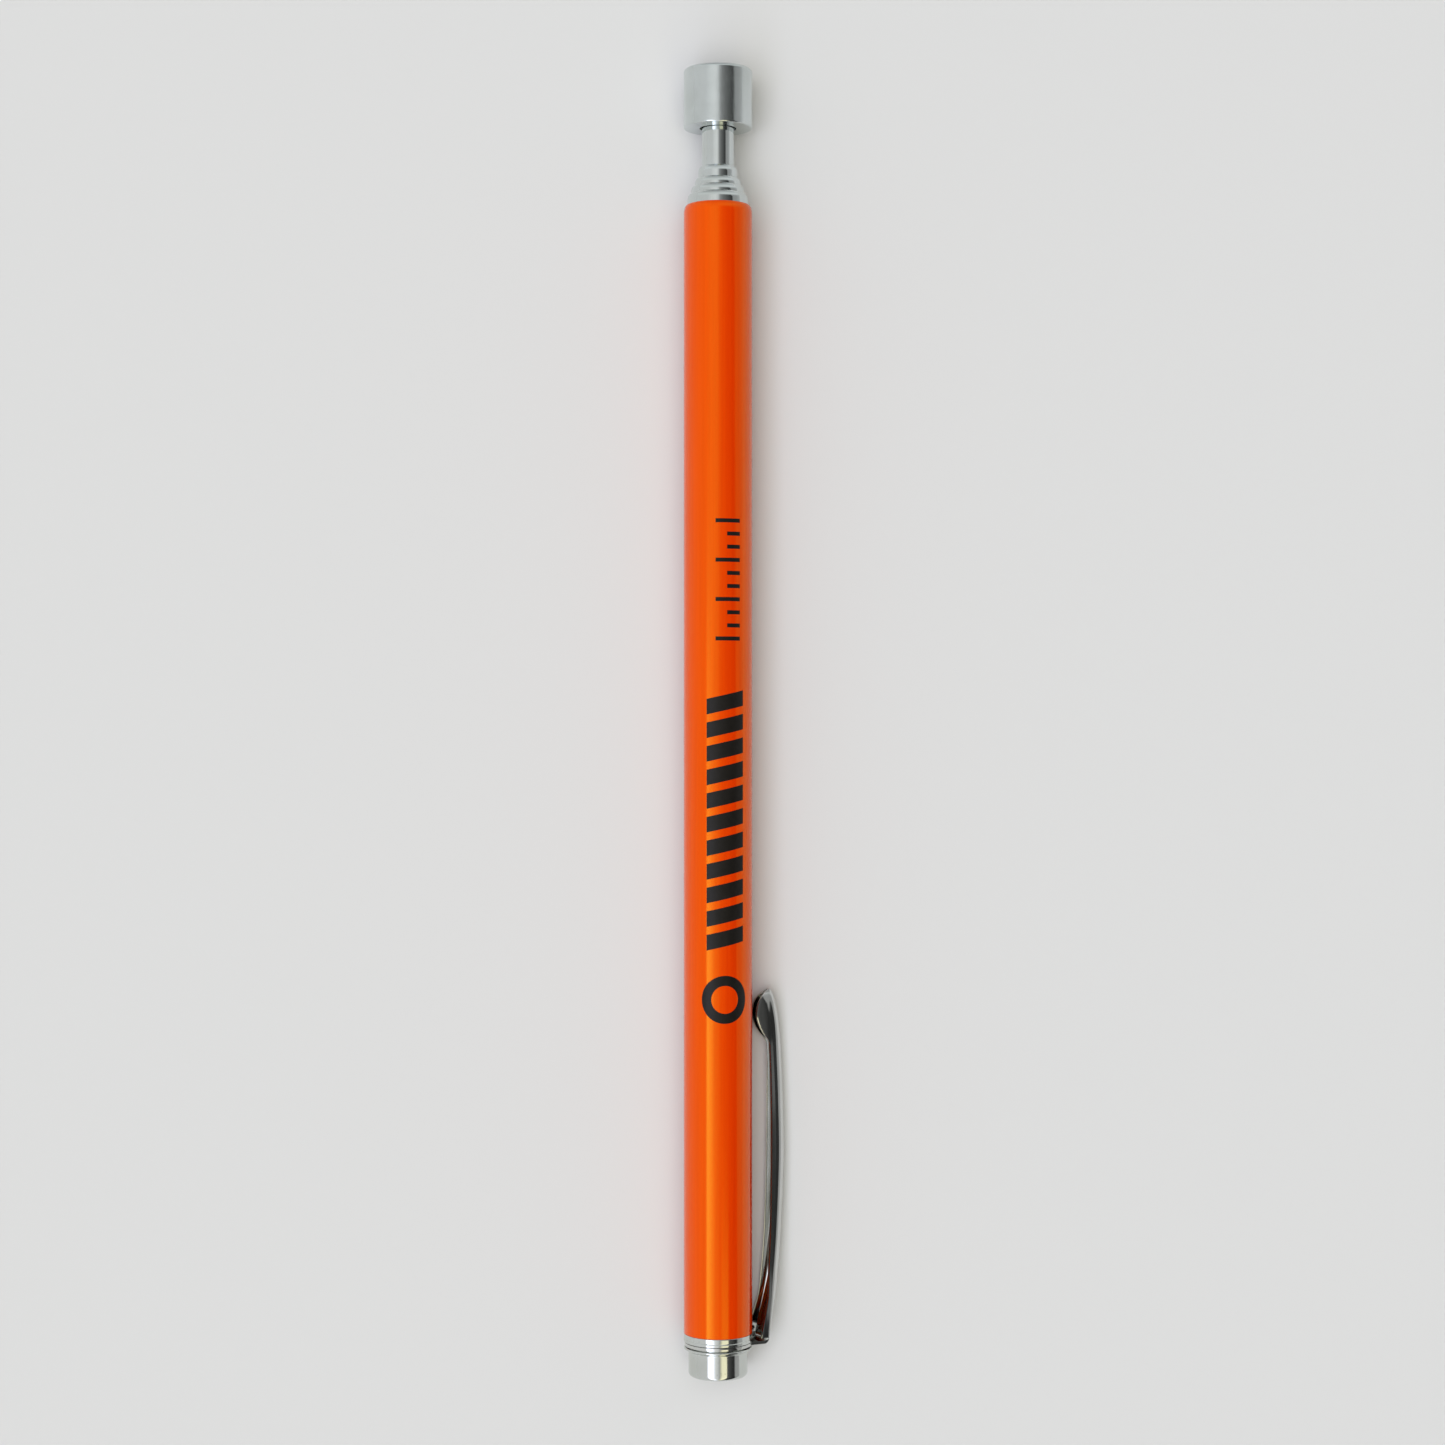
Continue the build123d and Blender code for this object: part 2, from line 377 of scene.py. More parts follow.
@dataclass(frozen=True)
class MetalFinish:
    """Bright metal: its colour, how smooth it is and how its surface was worked."""

    name: str
    tint: Triple
    dull: Triple
    roughness: float
    spread: float = 0.02
    lines_per_mm: float = 6.0
    line_depth: float = 0.15
    rings_depth: float = 0.0
    pit_amount: float = 0.12
    stretch: float = 0.02
    bump: float = 0.25
    bump_distance: float = 0.01 * MM
    clouds_per_metre: float = 220.0
    speck_shade: float = 0.6
    speck_roughness: float = 0.2
    speck_depth: float = 0.5

    def material(self, shelf: GroupShelf) -> Material:
        """Build the finish.

        Args:
            shelf: the shared effect groups.

        Returns:
            The material.
        """
        made, bench, shader, place = start_finish(self.name)
        drawn = place_group(bench, shelf.drawn, place, Roughness=self.roughness,
                            Spread=self.spread, Lines_per_mm=self.lines_per_mm,
                            Stretch=self.stretch)
        pits = place_group(bench, shelf.pits, place, Amount=self.pit_amount)
        tone = bench.noise(place, self.clouds_per_metre, 3.0)
        shade = bench.mix(bench.remap(tone, 0.35, 0.7, 0.0, 1.0), colour(*self.tint),
                          colour(*self.dull))
        speck = colour(*(self.speck_shade * c for c in self.dull))
        bench.join(bench.mix(pits.outputs["Mask"], shade, speck), shader.inputs["Base Color"])
        shader.inputs["Metallic"].default_value = 1.0
        rough = bench.math("MULTIPLY_ADD", pits.outputs["Mask"], self.speck_roughness,
                           drawn.outputs["Roughness"])
        bench.join(rough, shader.inputs["Roughness"])
        height = bench.math("MULTIPLY", drawn.outputs["Height"], self.line_depth)
        height = bench.math("MULTIPLY_ADD", pits.outputs["Height"], self.speck_depth, height)
        if self.rings_depth:
            rings = place_group(bench, shelf.rings, place)
            height = bench.math("MULTIPLY_ADD", rings.outputs["Height"], self.rings_depth, height)
        bench.dent(height, self.bump, self.bump_distance)
        return made


@dataclass(frozen=True)
class LacquerFinish:
    """Glossy orange lacquer over a drawn tube."""

    name: str = "orange lacquer"
    bright: Triple = (0.71, 0.038, 0.0)
    deep: Triple = (0.67, 0.032, 0.0)
    highlight: Triple = (1.0, 0.92, 0.06)
    roughness: float = 0.12
    spread: float = 0.015
    lines_per_mm: float = 3.0
    line_depth: float = 0.15
    haze_per_mm: float = 0.08
    index: float = 1.8
    peel_per_metre: float = 900.0
    bump: float = 0.08
    bump_distance: float = 0.02 * MM

    def material(self, shelf: GroupShelf) -> Material:
        """Build the lacquer.

        Args:
            shelf: the shared effect groups.

        Returns:
            The material.
        """
        made, bench, shader, place = start_finish(self.name)
        drawn = place_group(bench, shelf.drawn, place, Roughness=self.roughness,
                            Spread=self.spread, Lines_per_mm=self.lines_per_mm,
                            Haze_per_mm=self.haze_per_mm)
        depth = bench.remap(drawn.outputs["Height"], 0.3, 0.7, 0.0, 1.0)
        bench.join(bench.mix(depth, colour(*self.bright), colour(*self.deep)),
                   shader.inputs["Base Color"])
        bench.join(drawn.outputs["Roughness"], shader.inputs["Roughness"])
        shader.inputs["Metallic"].default_value = 0.0
        shader.inputs["IOR"].default_value = self.index
        shader.inputs["Specular Tint"].default_value = colour(*self.highlight)
        peel = bench.noise(place, self.peel_per_metre, 2.0)
        height = bench.math("MULTIPLY_ADD", drawn.outputs["Height"], self.line_depth, peel)
        bench.dent(height, self.bump, self.bump_distance)
        return made


@dataclass(frozen=True)
class PlainFinish:
    """Moulded plastic or printing ink: a dark body with a fine mottle."""

    name: str
    body: Triple
    roughness: float
    gloss: float = 0.5
    spread: float = 0.04
    mottle_per_metre: float = 1500.0
    mottle_gain: float = 1.6
    mottle_lift: float = 0.004

    def material(self, shelf: GroupShelf) -> Material:
        """Build the finish.

        Args:
            shelf: the shared effect groups.

        Returns:
            The material.
        """
        made, bench, shader, place = start_finish(self.name)
        drawn = place_group(bench, shelf.drawn, place, Roughness=self.roughness,
                            Spread=self.spread)
        shader.inputs["Specular IOR Level"].default_value = self.gloss
        mottle = bench.noise(place, self.mottle_per_metre, 3.0)
        lighter = tuple(self.mottle_gain * c + self.mottle_lift for c in self.body)
        bench.join(bench.mix(mottle, colour(*self.body), colour(*lighter)),
                   shader.inputs["Base Color"])
        bench.join(drawn.outputs["Roughness"], shader.inputs["Roughness"])
        return made


@dataclass
class FinishShelf:
    """Every finish on the tool."""

    groups: GroupShelf = field(default_factory=GroupShelf)
    made: dict[str, Material] = field(default_factory=dict)

    def take(self, finish: MetalFinish | LacquerFinish | PlainFinish) -> Material:
        """Give a finish's material, and build it the first time.

        Args:
            finish: the finish.

        Returns:
            The material.
        """
        if finish.name not in self.made:
            self.made[finish.name] = finish.material(self.groups)
        return self.made[finish.name]


LACQUER = LacquerFinish()
BRIGHT_TUBE = MetalFinish("bright plated tube", (0.645, 0.69, 0.69), (0.595, 0.63, 0.61), 0.09)
BRIGHT_TRIM = MetalFinish("bright plated trim", (0.665, 0.69, 0.67), (0.595, 0.62, 0.585), 0.11,
                          rings_depth=0.3, pit_amount=0.35)
CLIP_STEEL = MetalFinish("plated clip steel", (0.66, 0.67, 0.65), (0.60, 0.61, 0.58), 0.09,
                         spread=0.03)
SATIN_CUP = MetalFinish("satin plated cup", (0.655, 0.70, 0.70), (0.57, 0.612, 0.60), 0.17,
                        spread=0.06, lines_per_mm=5.0, line_depth=1.0, rings_depth=0.6,
                        stretch=0.18, bump=0.7)
MAGNET_FACE = MetalFinish("plated magnet", (0.62, 0.62, 0.60), (0.55, 0.55, 0.53), 0.16,
                          spread=0.04, rings_depth=0.8, pit_amount=0.4)
SHOE_BRONZE = MetalFinish("spring bronze", (0.66, 0.40, 0.20), (0.52, 0.29, 0.13), 0.28,
                          spread=0.05)
STEM_BRASS = MetalFinish("machined brass", (0.75, 0.56, 0.26), (0.66, 0.46, 0.19), 0.22,
                         rings_depth=0.6)
SPACER_BLACK = PlainFinish("black spacer", (0.018, 0.018, 0.018), 0.42)
INK = PlainFinish("printing ink", (0.005, 0.004, 0.003), 0.35, 0.22)


# Mesh building.
@dataclass(frozen=True)
class Corner:
    """A corner of a half section: place along the axis, radius, and its rounding."""

    along: float
    radius: float
    soft: float = 0.0


def rolled_lip(end: float, outer: float, inner: float, length: float,
               steps: int = 9) -> list[Corner]:
    """Quarter ellipse of a rolled-in lip, from the tube's outside to its mouth.

    Args:
        end: place of the mouth along the axis.
        outer: outside radius of the tube.
        inner: radius of the mouth.
        length: length of the shoulder along the axis.
        steps: number of straight steps.

    Returns:
        The corners, from the outside to the mouth.
    """
    turns = [math.pi / 2 * step / steps for step in range(steps + 1)]
    return [Corner(end - length * (1 - math.sin(turn)), inner + (outer - inner) * math.cos(turn))
            for turn in turns]


def guard_long_edges(mesh: Mesh) -> None:
    """Put a point close to each end of every long edge, so that shading stays flat there.

    Args:
        mesh: a wire.
    """
    for end in (0, 1):
        for edge in list(mesh.edges):
            length = edge.calc_length()
            if length > 4 * GUARD:
                bmesh.utils.edge_split(edge, edge.verts[end], GUARD / length)


def publish(name: str, mesh: Mesh, material: Material,
            sharp_degrees: float = 38.0) -> Piece:
    """Turn a bmesh into a smooth-shaded object in the scene.

    Args:
        name: the piece's name.
        mesh: the finished bmesh, which is freed.
        material: its finish.
        sharp_degrees: edges that turn by more than this stay crisp.

    Returns:
        The object.
    """
    data = bpy.data.meshes.new(name)
    mesh.to_mesh(data)
    mesh.free()
    data.shade_smooth()
    data.set_sharp_from_angle(angle=math.radians(sharp_degrees))
    data.materials.append(material)
    piece = bpy.data.objects.new(name, data)
    bpy.context.scene.collection.objects.link(piece)
    return piece


def settle(piece: Piece, sharp_degrees: float) -> None:
    """Apply a piece's modifiers to its mesh and shade it again.

    Args:
        piece: the piece.
        sharp_degrees: edges that turn by more than this stay crisp.
    """
    shape = piece.evaluated_get(bpy.context.evaluated_depsgraph_get())
    done = bpy.data.meshes.new_from_object(shape)
    piece.modifiers.clear()
    piece.data = done
    done.shade_smooth()
    done.set_sharp_from_angle(angle=math.radians(sharp_degrees))


def section_wire(corners: Sequence[Corner], closed: bool) -> Mesh:
    """Draw the half section of a turned piece as a wire in the XZ plane.

    Args:
        corners: the half section's corners, which are rounded.
        closed: True to join the last corner to the first.

    Returns:
        The wire.
    """
    mesh = bmesh.new()
    points = [mesh.verts.new((corner.along, 0.0, corner.radius)) for corner in corners]
    for first, second in zip(points, points[1:]):
        mesh.edges.new((first, second))
    if closed:
        mesh.edges.new((points[-1], points[0]))
    for size in sorted({corner.soft for corner in corners if corner.soft}):
        chosen = [p for p, corner in zip(points, corners) if corner.soft == size and p.is_valid]
        bmesh.ops.bevel(mesh, geom=chosen, offset=size, offset_type="OFFSET",
                        segments=ROUND_SEGMENTS, profile=0.5, affect="VERTICES", material=-1)
    guard_long_edges(mesh)
    return mesh


def turned(name: str, corners: Sequence[Corner], material: Material,
           closed: bool = True) -> Piece:
    """Turn a half section about the X axis.

    Args:
        name: the piece's name.
        corners: the half section.
        material: its finish.
        closed: True for a ring or tube; False where both ends lie on the axis.

    Returns:
        The object.
    """
    mesh = section_wire(corners, closed)
    bmesh.ops.spin(mesh, geom=mesh.verts[:] + mesh.edges[:], cent=(0, 0, 0), axis=(1, 0, 0),
                   dvec=(0, 0, 0), angle=2 * math.pi, steps=ROUND_STEPS, use_merge=True,
                   use_duplicate=False)
    bmesh.ops.remove_doubles(mesh, verts=mesh.verts, dist=MERGE)
    bmesh.ops.dissolve_degenerate(mesh, edges=mesh.edges, dist=MERGE)
    bmesh.ops.recalc_face_normals(mesh, faces=mesh.faces)
    return publish(name, mesh, material)


def half_shell(name: str, corners: Sequence[Corner], start: float, sweep: float,
               material: Material) -> Piece:
    """Turn a filled half section part of the way round the X axis.

    Args:
        name: the piece's name.
        corners: the section's corners.
        start: angle of the first end about X, from +Z.
        sweep: angle that the piece covers.
        material: its finish.

    Returns:
        The object.
    """
    mesh = bmesh.new()
    points = [mesh.verts.new((corner.along, 0.0, corner.radius)) for corner in corners]
    face = mesh.faces.new(points)
    bmesh.ops.rotate(mesh, verts=mesh.verts, cent=(0, 0, 0), matrix=Matrix.Rotation(start, 3, "X"))
    bmesh.ops.spin(mesh, geom=[face], cent=(0, 0, 0), axis=(1, 0, 0), dvec=(0, 0, 0),
                   angle=sweep, steps=ROUND_STEPS // 3, use_merge=False, use_duplicate=False)
    bmesh.ops.recalc_face_normals(mesh, faces=mesh.faces)
    rims = [edge for edge in mesh.edges if edge.calc_face_angle(0.0) > math.radians(60)]
    bmesh.ops.bevel(mesh, geom=rims, offset=GUARD, offset_type="OFFSET", segments=2,
                    profile=0.5, affect="EDGES", material=-1)
    bmesh.ops.recalc_face_normals(mesh, faces=mesh.faces)
    return publish(name, mesh, material)


def smooth_line(points: Sequence[Pair]) -> Callable[[float], float]:
    """Smooth curve through (place, value) points, flat-sided at its ends.

    Args:
        points: the points, in order of place.

    Returns:
        A function from place to value.
    """
    places = [p for p, _ in points]
    values = [v for _, v in points]
    last = len(points) - 1
    slopes = []
    for index in range(len(points)):
        low, high = max(index - 1, 0), min(index + 1, last)
        slopes.append((values[high] - values[low]) / (places[high] - places[low]))

    def value(place: float) -> float:
        """Work out the curve.

        Args:
            place: where along the curve.

        Returns:
            Its value there.
        """
        index = max(i for i in range(last) if i == 0 or places[i] <= place)
        after = index + 1
        span = places[after] - places[index]
        t = min(max((place - places[index]) / span, 0.0), 1.0)
        return ((1 + 2 * t) * (1 - t) ** 2 * values[index] + t * (1 - t) ** 2 * span * slopes[index]
                + t * t * (3 - 2 * t) * values[after] - t * t * (1 - t) * span * slopes[after])

    return value


def install(piece: Piece, body: str, slot: Slot, *nodes: str) -> None:
    """Give a piece its place in the frame.

    Args:
        piece: the piece.
        body: the body that it rides on.
        slot: a finish slot; not used.
        nodes: the nodes that it stands for.
    """
    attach(piece, body)
    if nodes:
        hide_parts(*nodes)
    LOG.info("%s rides on %s for %s", piece.name, body, ", ".join(nodes) or "nothing")


# The tool.
@dataclass
class Barrel:
    """The lacquered outer tube, with its rolled-in lip."""

    finishes: FinishShelf
    shoulder: float = 1.05 * MM
    lip_length: float = 0.9 * MM
    edge: float = 0.05 * MM

    def build(self) -> Piece:
        """Build and install the barrel.

        Returns:
            The piece.
        """
        low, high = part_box("barrel_tube")
        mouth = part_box("section_1_tube")[1].z + LIP_GAP
        bore = high.z - WALL
        corners = [Corner(low.x, bore), Corner(low.x, high.z, self.edge)]
        corners += rolled_lip(high.x, high.z, mouth, self.shoulder)
        corners += [Corner(high.x - self.lip_length, mouth), Corner(high.x - self.lip_length, bore)]
        piece = turned("barrel", corners, self.finishes.take(LACQUER))
        install(piece, "barrel", Slot.LACQUER, "barrel_tube")
        return piece


@dataclass
class BarrelMarks:
    """Plain black marks printed along the barrel: a ring, slanted bars and a row of ticks.

    Angles are about the tool's axis, from straight up towards the clip, in degrees.
    """

    finishes: FinishShelf
    lift: float = 0.004 * MM
    thickness: float = 0.010 * MM
    ring_place: float = 47.9
    ring_outer: float = 3.0
    ring_inner: float = 1.75
    ring_angle: float = 12.0
    bars_start: float = 54.6
    bar_pitch: float = 2.95
    bar_width: float = 1.95
    bar_count: int = 11
    bar_slant: float = 1.1
    bar_low: float = -19.0
    bar_high: float = 46.0
    ticks_start: float = 92.8
    tick_pitch: float = 1.64
    tick_width: float = 0.5
    tick_count: int = 10
    tick_low: float = -4.0
    tick_high: float = 39.0
    long_tick_every: int = 3
    short_tick: float = 0.55
    steps: int = 26
    ring_steps: int = 64
    ring_rows: int = 6

    def wrap(self, mesh: Mesh, points: Sequence[Point],
             shape: Callable[[float, float], Pair]) -> None:
        """Lay flat points on the barrel.

        Args:
            mesh: the bmesh that holds them.
            points: the points, in a unit square about the origin.
            shape: gives (place along in mm, angle in degrees) for a point of the square.
        """
        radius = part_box("barrel_tube")[1].z + self.lift
        for point in points:
            along, degrees = shape(point.co.x, point.co.y)
            turn = math.radians(degrees)
            point.co = Vector((along * MM, -radius * math.sin(turn), radius * math.cos(turn)))

    def bar(self, mesh: Mesh, start: float, width: float, low: float, high: float,
            slant: float) -> None:
        """Add one straight or slanted bar.

        Args:
            mesh: the bmesh that holds it.
            start: its place along the barrel in mm.
            width: its width along the barrel in mm.
            low: angle of its first end.
            high: angle of its far end.
            slant: how far along the far end leans, in mm.
        """
        grid = bmesh.ops.create_grid(mesh, x_segments=1, y_segments=self.steps, size=0.5)
        self.wrap(mesh, grid["verts"], lambda x, y: (
            start + (x + 0.5) * width + y * slant, low + (y + 0.5) * (high - low)))

    def ring(self, mesh: Mesh) -> None:
        """Add the ring.

        Args:
            mesh: the bmesh that holds it.
        """
        degrees_per_mm = math.degrees(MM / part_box("barrel_tube")[1].z)
        grid = bmesh.ops.create_grid(mesh, x_segments=self.ring_steps, y_segments=self.ring_rows,
                                     size=0.5)

        def polar(x: float, y: float) -> Pair:
            """Bend the unit square into the ring.

            Args:
                x: place round the ring, from -0.5 to 0.5.
                y: place across the ring, from -0.5 to 0.5.

            Returns:
                Place along in mm and angle in degrees.
            """
            radius = self.ring_inner + (y + 0.5) * (self.ring_outer - self.ring_inner)
            turn = 2 * math.pi * x
            return (self.ring_place + radius * math.cos(turn),
                    self.ring_angle + radius * math.sin(turn) * degrees_per_mm)

        self.wrap(mesh, grid["verts"], polar)
        bmesh.ops.remove_doubles(mesh, verts=grid["verts"], dist=MERGE)

    def build(self) -> Piece:
        """Build and install the print.

        Returns:
            The piece.
        """
        mesh = bmesh.new()
        self.ring(mesh)
        for index in range(self.bar_count):
            self.bar(mesh, self.bars_start + index * self.bar_pitch, self.bar_width,
                     self.bar_low, self.bar_high, self.bar_slant)
        for index in range(self.tick_count):
            long = index % self.long_tick_every == 0
            length = (1.0 if long else self.short_tick) * (self.tick_high - self.tick_low)
            low = self.tick_high - length
            self.bar(mesh, self.ticks_start + index * self.tick_pitch, self.tick_width, low,
                     self.tick_high, 0.0)
        for face in mesh.faces:
            face.normal_update()
            middle = face.calc_center_median()
            if face.normal.dot(Vector((0, middle.y, middle.z))) < 0:
                face.normal_flip()
        piece = publish("barrel_print", mesh, self.finishes.take(INK))
        wall = piece.modifiers.new("ink", "SOLIDIFY")
        wall.thickness = self.thickness
        wall.offset = 1.0
        settle(piece, CREASE_DEGREES)
        install(piece, "barrel", Slot.SPACER)
        return piece


@dataclass
class ButtEnd:
    """The bright ferrule and the knob at the butt of the barrel."""

    finishes: FinishShelf
    knob_length: float = 3.2 * MM
    knob_radius: float = 3.75 * MM
    knob_round: float = 0.55 * MM
    cone_length: float = 0.22 * MM
    cone_rise: float = 0.42 * MM
    cone_round: float = 0.1 * MM
    flange_length: float = 0.24 * MM
    shank_radius: float = 3.55 * MM
    ferrule_bore: float = 3.57 * MM
    seam: float = 0.07 * MM
    edge: float = 0.06 * MM
    rim: float = 0.12 * MM
    gap: float = 0.15 * MM
    groove_place: float = 0.36
    groove_depth: float = 0.05 * MM

    def build_ferrule(self) -> Piece:
        """Build the band, with a fine turned groove, and its sleeve in the barrel.

        Returns:
            The piece.
        """
        low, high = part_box("end_ferrule")
        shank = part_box("end_plug")[1].x
        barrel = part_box("barrel_tube")[0].x
        band_end = barrel - RUNNING_ROOM
        bore = self.ferrule_bore
        sleeve = high.z - WALL - RUNNING_ROOM
        groove = low.x + self.groove_place * (barrel - low.x)
        corners = [
            Corner(low.x, bore),
            Corner(low.x, high.z, self.edge),
            Corner(groove - self.seam, high.z),
            Corner(groove, high.z - self.groove_depth),
            Corner(groove + self.seam, high.z),
            Corner(band_end, high.z, self.edge),
            Corner(band_end, sleeve),
            Corner(shank, sleeve),
            Corner(shank, bore),
        ]
        piece = turned("ferrule", corners, self.finishes.take(BRIGHT_TRIM))
        install(piece, "barrel", Slot.CHROME, "end_ferrule")
        return piece

    def build_plug(self) -> Piece:
        """Build the knob with its flange and shank.

        Returns:
            The piece.
        """
        low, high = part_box("end_plug")
        knob, shank = self.knob_radius, self.shank_radius
        flange = high.z - RUNNING_ROOM
        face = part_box("pocket_clip_base")[0].x - self.gap
        corners = [
            Corner(low.x, 0.0),
            Corner(low.x, knob, self.knob_round),
            Corner(self.knob_length, knob, self.edge),
            Corner(self.knob_length + self.cone_length, knob + self.cone_rise, self.cone_round),
            Corner(face - self.flange_length, flange, self.edge),
            Corner(face, flange, self.rim),
            Corner(face, shank),
            Corner(high.x, shank),
            Corner(high.x, 0.0),
        ]
        piece = turned("knob", corners, self.finishes.take(BRIGHT_TRIM), closed=False)
        install(piece, "barrel", Slot.CHROME, "end_plug")
        return piece


@dataclass
class Telescope:
    """The sliding sections and the bronze shoes that grip the tube round each of them."""

    finishes: FinishShelf
    count: int = 5
    lip_length: float = 0.9 * MM
    shoulder: float = 0.85 * MM
    groove_depth: float = 0.08 * MM
    groove_slack: float = 0.05 * MM
    edge: float = 0.05 * MM
    shoe_gap: float = 1.0 * MM

    def build_section(self, index: int) -> Piece:
        """Build one tube, grooved for its shoes and rolled in at its mouth.

        Args:
            index: the section's number, from 1 at the barrel.

        Returns:
            The piece.
        """
        node = f"section_{index}_tube"
        low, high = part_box(node)
        outer = high.z
        bore = outer - WALL
        shoe_low, shoe_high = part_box(f"friction_shoe_{index}a")
        start = shoe_low.x - self.groove_slack
        end = shoe_high.x + self.groove_slack
        floor = outer - self.groove_depth
        corners = [
            Corner(low.x, bore),
            Corner(low.x, outer, self.edge),
            Corner(start, outer),
            Corner(start, floor),
            Corner(end, floor),
            Corner(end, outer),
        ]
        if index < self.count:
            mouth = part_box(f"section_{index + 1}_tube")[1].z + LIP_GAP
            corners += rolled_lip(high.x, outer, mouth, self.shoulder)
            inside = high.x - self.lip_length
            corners += [Corner(inside, mouth), Corner(inside, bore)]
        else:
            corners += [Corner(high.x, outer), Corner(high.x, bore)]
        raised = bore - self.groove_depth
        corners += [
            Corner(end + self.groove_slack, bore),
            Corner(end + self.groove_slack, raised),
            Corner(start - self.groove_slack, raised),
            Corner(start - self.groove_slack, bore),
        ]
        piece = turned(f"tube_{index}", corners, self.finishes.take(BRIGHT_TUBE))
        install(piece, f"section_{index}", Slot.CHROME, node)
        return piece

    def build_shoes(self, index: int) -> None:
        """Build the two half-round shoes of one section.

        Args:
            index: the section's number, from 1 at the barrel.
        """
        for letter, side in (("a", 1), ("b", -1)):
            node = f"friction_shoe_{index}{letter}"
            low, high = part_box(node)
            outer = max(high.y, -low.y)
            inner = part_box(f"section_{index}_tube")[1].z - self.groove_depth + RUNNING_ROOM
            cut = math.asin(self.shoe_gap / 2 / outer)
            corners = [Corner(low.x, inner), Corner(low.x, outer), Corner(high.x, outer),
                       Corner(high.x, inner)]
            first = cut - math.pi / 2 if side > 0 else cut + math.pi / 2
            piece = half_shell(f"shoe_{index}{letter}", corners, first, math.pi - 2 * cut,
                               self.finishes.take(SHOE_BRONZE))
            install(piece, f"shoes_{index}", Slot.BRONZE, node)

    def build(self) -> None:
        """Build every section with its shoes."""
        for index in range(1, self.count + 1):
            self.build_section(index)
            self.build_shoes(index)


@dataclass
class MagnetHead:
    """The drum at the working end: cup, spacer, magnet and the stem that holds them."""

    finishes: FinishShelf
    body: str = "section_5"
    cup_bore: float = 3.65 * MM
    floor_thickness: float = 1.7 * MM
    recess: float = 2.3 * MM
    recess_depth: float = 0.9 * MM
    rivet: float = 0.98 * MM
    rivet_head: float = 1.6 * MM
    top_round: float = 0.42 * MM
    rim_round: float = 0.18 * MM
    bore_round: float = 0.06 * MM
    face_inset: float = 0.13 * MM
    magnet_round: float = 0.12 * MM
    stem_round: float = 0.2 * MM
    rivet_round: float = 0.25 * MM

    def build(self) -> None:
        """Build and install the four pieces of the head."""
        low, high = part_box("magnet_cup")
        floor = low.x + self.floor_thickness
        recess_end = low.x + self.recess_depth
        corners = [
            Corner(low.x, self.recess, self.bore_round),
            Corner(low.x, high.z, self.rim_round),
            Corner(high.x, high.z, self.top_round),
            Corner(high.x, self.cup_bore, self.bore_round),
            Corner(floor, self.cup_bore),
            Corner(floor, self.rivet + RUNNING_ROOM),
            Corner(recess_end, self.rivet + RUNNING_ROOM),
            Corner(recess_end, self.recess),
        ]
        cup = turned("head_cup", corners, self.finishes.take(SATIN_CUP))
        install(cup, self.body, Slot.SATIN, "magnet_cup")
        magnet_low, magnet_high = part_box("magnet_disc")
        face = high.x - self.face_inset
        spacer = [
            Corner(floor, magnet_high.z + RUNNING_ROOM),
            Corner(floor, self.cup_bore - RUNNING_ROOM),
            Corner(face, self.cup_bore - RUNNING_ROOM),
            Corner(face, magnet_high.z + RUNNING_ROOM),
        ]
        ring = turned("head_spacer", spacer, self.finishes.take(SPACER_BLACK))
        install(ring, self.body, Slot.SPACER, "spacer_sleeve")
        disc = [
            Corner(magnet_low.x, 0.0),
            Corner(magnet_low.x, magnet_high.z, self.magnet_round),
            Corner(magnet_high.x, magnet_high.z, self.magnet_round),
            Corner(magnet_high.x, 0.0),
        ]
        magnet = turned("magnet", disc, self.finishes.take(MAGNET_FACE), closed=False)
        install(magnet, self.body, Slot.MAGNET, "magnet_disc")
        stem_low, stem_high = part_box("head_stem")
        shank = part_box("section_5_tube")[1].z - WALL - RUNNING_ROOM
        stem = [
            Corner(stem_low.x, 0.0),
            Corner(stem_low.x, shank, self.stem_round),
            Corner(recess_end, shank),
            Corner(recess_end, self.rivet),
            Corner(floor, self.rivet),
            Corner(floor, self.rivet_head),
            Corner(stem_high.x, self.rivet_head, self.rivet_round),
            Corner(stem_high.x, 0.0),
        ]
        pin = turned("head_stem_pin", stem, self.finishes.take(STEM_BRASS), closed=False)
        install(pin, self.body, Slot.BRASS, "head_stem")


